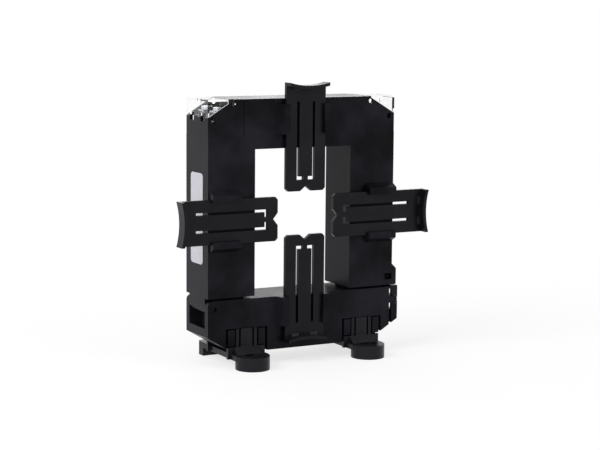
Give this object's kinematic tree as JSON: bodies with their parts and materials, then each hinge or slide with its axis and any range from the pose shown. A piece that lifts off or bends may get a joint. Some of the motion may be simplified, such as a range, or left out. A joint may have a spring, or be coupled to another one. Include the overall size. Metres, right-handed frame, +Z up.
{
  "type": "split-core current transformer",
  "caption": "Hinged split-core current transformer with a tall window, sliding busbar holders, clear terminal covers, a snap latch and clip-on mounting feet.",
  "frame": {"origin": "middle of the line between the two foot screw holes, on the mounting surface", "axes": "+X from the hinge end to the latch end, +Y from the slide side to the back along the busbar, +Z up, out of the mounting surface"},
  "size_m": [0.1661, 0.0644, 0.1673],
  "materials": {
    "black_polyamide": "satin black glass-filled polyamide",
    "clear_polycarbonate": "clear polycarbonate",
    "natural_polyamide": "uncoloured polyamide",
    "core_steel": "grain-oriented silicon steel strip, cut and ground",
    "enamelled_copper": "enamelled copper wire",
    "tinned_brass": "tinned brass",
    "zinc_steel": "bright zinc-plated steel",
    "spring_steel": "hardened spring steel",
    "silver_label": "satin silver polyester film, bare"
  },
  "bodies": {
    "base": {"lower_housing": "black_polyamide", "base_lid": "black_polyamide", "foot_left": "black_polyamide", "foot_right": "black_polyamide", "lower_core": "core_steel", "yoke_tray": "black_polyamide", "core_spring_left": "spring_steel", "core_spring_right": "spring_steel", "hinge_pin": "spring_steel", "latch_pin": "spring_steel", "latch_spring": "spring_steel"},
    "upper_half": {"upper_housing": "black_polyamide", "top_cap": "black_polyamide", "terminal_box_left": "black_polyamide", "terminal_box_right": "black_polyamide", "contact_bar_left": "tinned_brass", "contact_bar_right": "tinned_brass", "clamp_left_front": "zinc_steel", "clamp_left_back": "zinc_steel", "clamp_right_front": "zinc_steel", "clamp_right_back": "zinc_steel", "upper_core": "core_steel", "bobbin_left": "natural_polyamide", "bobbin_right": "natural_polyamide", "winding_left": "enamelled_copper", "winding_right": "enamelled_copper", "lead_left": "enamelled_copper", "lead_right": "enamelled_copper", "series_link": "enamelled_copper", "rating_label": "silver_label"},
    "latch_rocker": {"latch": "black_polyamide"},
    "cover_left": {"terminal_cover_left": "clear_polycarbonate"},
    "cover_right": {"terminal_cover_right": "clear_polycarbonate"},
    "top_slide": {"slide_top": "black_polyamide"},
    "bottom_slide": {"slide_bottom": "black_polyamide"},
    "left_slide": {"slide_left": "black_polyamide"},
    "right_slide": {"slide_right": "black_polyamide"},
    "screw_left_front_body": {"screw_left_front": "zinc_steel"},
    "screw_left_back_body": {"screw_left_back": "zinc_steel"},
    "screw_right_front_body": {"screw_right_front": "zinc_steel"},
    "screw_right_back_body": {"screw_right_back": "zinc_steel"}
  },
  "joints": [
    {"name": "half_hinge", "type": "hinge", "parent": "base", "child": "upper_half", "pos_m": [-0.0604, 0.0228, 0.0355], "axis": [0, -1, 0], "range_deg": [0, 90]},
    {"name": "latch_rock", "type": "hinge", "parent": "base", "child": "latch_rocker", "pos_m": [0.0624, 0.0228, 0.0325], "axis": [0, 1, 0], "range_deg": [0, 6], "stiffness_Nm_per_rad": 0.25, "springref_deg": -2.86},
    {"name": "cover_left_lift", "type": "hinge", "parent": "upper_half", "child": "cover_left", "pos_m": [-0.0481, 0.0228, 0.1553], "axis": [0, 1, 0], "range_deg": [0, 100]},
    {"name": "cover_right_lift", "type": "hinge", "parent": "upper_half", "child": "cover_right", "pos_m": [0.0439, 0.0228, 0.1553], "axis": [0, -1, 0], "range_deg": [0, 100]},
    {"name": "top_slide_push", "type": "slide", "parent": "upper_half", "child": "top_slide", "axis": [0, 0, 1], "range_m": [-0.008, 0.015]},
    {"name": "bottom_slide_push", "type": "slide", "parent": "base", "child": "bottom_slide", "axis": [0, 0, -1], "range_m": [0, 0.008]},
    {"name": "left_slide_push", "type": "slide", "parent": "upper_half", "child": "left_slide", "axis": [-1, 0, 0], "range_m": [-0.003, 0.01]},
    {"name": "right_slide_push", "type": "slide", "parent": "upper_half", "child": "right_slide", "axis": [1, 0, 0], "range_m": [-0.002, 0.015]},
    {"name": "screw_left_front_turn", "type": "hinge", "parent": "upper_half", "child": "screw_left_front_body", "pos_m": [-0.0546, 0.0156, 0.15], "axis": [0, 0, 1], "continuous": true},
    {"name": "screw_left_back_turn", "type": "hinge", "parent": "upper_half", "child": "screw_left_back_body", "pos_m": [-0.0546, 0.03, 0.15], "axis": [0, 0, 1], "continuous": true},
    {"name": "screw_right_front_turn", "type": "hinge", "parent": "upper_half", "child": "screw_right_front_body", "pos_m": [0.0504, 0.0156, 0.15], "axis": [0, 0, 1], "continuous": true},
    {"name": "screw_right_back_turn", "type": "hinge", "parent": "upper_half", "child": "screw_right_back_body", "pos_m": [0.0504, 0.03, 0.15], "axis": [0, 0, 1], "continuous": true}
  ]
}
